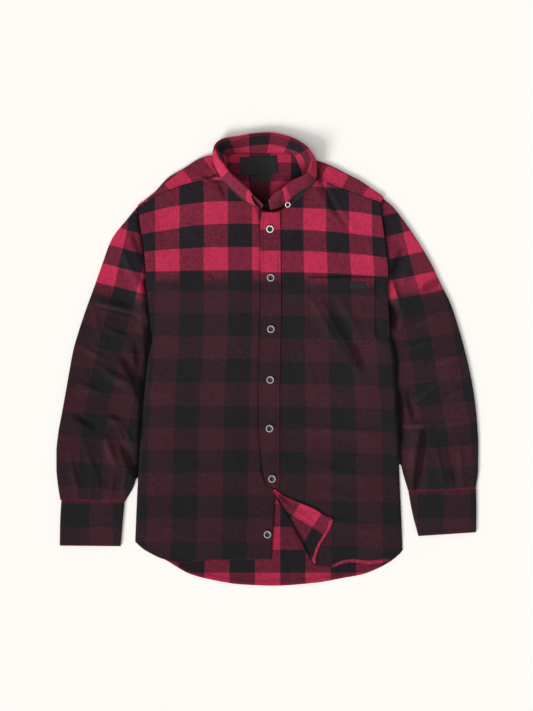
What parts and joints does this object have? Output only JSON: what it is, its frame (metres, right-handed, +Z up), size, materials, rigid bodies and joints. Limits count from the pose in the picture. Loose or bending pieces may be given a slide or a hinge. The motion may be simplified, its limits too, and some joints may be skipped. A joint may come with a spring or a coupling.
{
  "type": "flannel shirt",
  "caption": "Long-sleeved flannel shirt with a button-down collar, front placket, chest pocket and barrel cuffs, laid flat with one front corner turned back.",
  "frame": {"origin": "middle of the bounding box, on the surface that the shirt lies on", "axes": "+X to the wearer's left, +Y from the tail to the collar, +Z up off the surface"},
  "size_m": [0.7587, 0.8144, 0.0442],
  "materials": {
    "flannel": "napped cotton flannel in a red and black buffalo check, dip-dyed dark below the chest, undyed inside",
    "label": "black woven label, plain",
    "button": "satin pearl-grey resin"
  },
  "bodies": {
    "root": {"back": "flannel", "yoke": "flannel", "front_right": "flannel", "front_left": "flannel", "placket": "flannel", "pocket": "flannel", "pocket_label": "label", "collar_stand": "flannel", "collar_fall": "flannel", "neck_label": "label", "size_label": "label", "sleeve_right": "flannel", "sleeve_left": "flannel", "cuff_right": "flannel", "cuff_left": "flannel", "button_1": "button", "button_2": "button", "button_3": "button", "button_4": "button", "button_5": "button", "button_6": "button", "button_7": "button", "collar_button": "button"}
  },
  "joints": []
}
